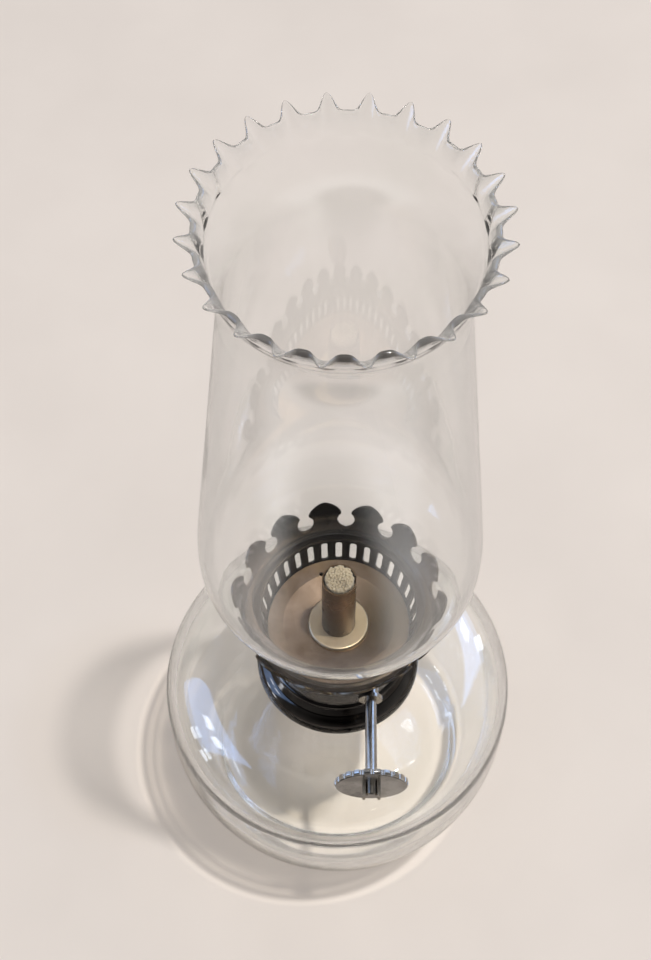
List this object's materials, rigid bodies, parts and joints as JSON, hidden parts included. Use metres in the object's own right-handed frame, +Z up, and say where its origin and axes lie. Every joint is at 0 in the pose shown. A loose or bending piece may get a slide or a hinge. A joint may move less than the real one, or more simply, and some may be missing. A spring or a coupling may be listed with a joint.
{
  "type": "glass oil lamp",
  "caption": "Small table oil lamp: squat clear glass font, plated screw burner with slotted basket and prong coronet, round wick with side winder, bulged glass chimney with crimped rim.",
  "frame": {"origin": "middle of the font's base, on the table", "axes": "+Z up along the lamp's axis; the winder's thumb wheel points to -Y, +X is to the right seen from the winder"},
  "size_m": [0.1028, 0.1028, 0.2775],
  "materials": {
    "clear_glass": "clear blown soda-lime glass, fire-polished",
    "chimney_glass": "thin clear blown glass with a crimped rim",
    "dark_plate": "nickel plate gone dark grey with age and lamp smoke",
    "bright_plate": "bright nickel plate on spun brass, lightly worn",
    "tinted_plate": "nickel plate dulled and tinted brown by heat",
    "plain_brass": "plain pressed brass, dull",
    "plain_steel": "plain steel",
    "cotton_wick": "round woven cotton wick, cut square",
    "plaster": "set plaster of Paris"
  },
  "bodies": {
    "font": {"font": "clear_glass", "font_collar": "dark_plate", "collar_cement": "plaster"},
    "screw_ring": {"screw_ring": "dark_plate"},
    "burner": {"burner_drum": "dark_plate", "burner_floor": "plain_brass", "air_basket": "dark_plate", "burner_plate": "tinted_plate", "tube_ring": "tinted_plate", "wick_tube": "tinted_plate", "winder_bush": "bright_plate", "winder_bracket": "plain_brass", "bracket_rivets": "plain_brass", "coronet": "dark_plate"},
    "winder": {"winder_shaft": "bright_plate", "spur_wheel": "plain_steel", "stop_ring": "plain_steel", "thumb_wheel": "bright_plate"},
    "wick": {"wick": "cotton_wick"},
    "chimney": {"chimney": "chimney_glass"}
  },
  "joints": [
    {"name": "burner_rise", "type": "slide", "parent": "font", "child": "screw_ring", "axis": [0, 0, 1], "range_m": [0, 0.006]},
    {"name": "burner_unscrew", "type": "hinge", "parent": "screw_ring", "child": "burner", "pos_m": [0, 0, 0.0875], "axis": [0, 0, 1], "range_deg": [0, 720]},
    {"name": "winder_turn", "type": "hinge", "parent": "burner", "child": "winder", "pos_m": [0.009, 0, 0.0909], "axis": [0, 1, 0], "range_deg": [-110, 100]},
    {"name": "wick_raise", "type": "slide", "parent": "burner", "child": "wick", "axis": [0, 0, 1], "range_m": [-0.0101, 0.0092]},
    {"name": "chimney_lift", "type": "slide", "parent": "burner", "child": "chimney", "axis": [0, 0, 1], "range_m": [0, 0.05]}
  ],
  "couplings": [
    {"joint": "burner_rise", "follows": "burner_unscrew", "m_per_rad": 0.0004774},
    {"joint": "wick_raise", "follows": "winder_turn", "m_per_rad": 0.00525}
  ]
}
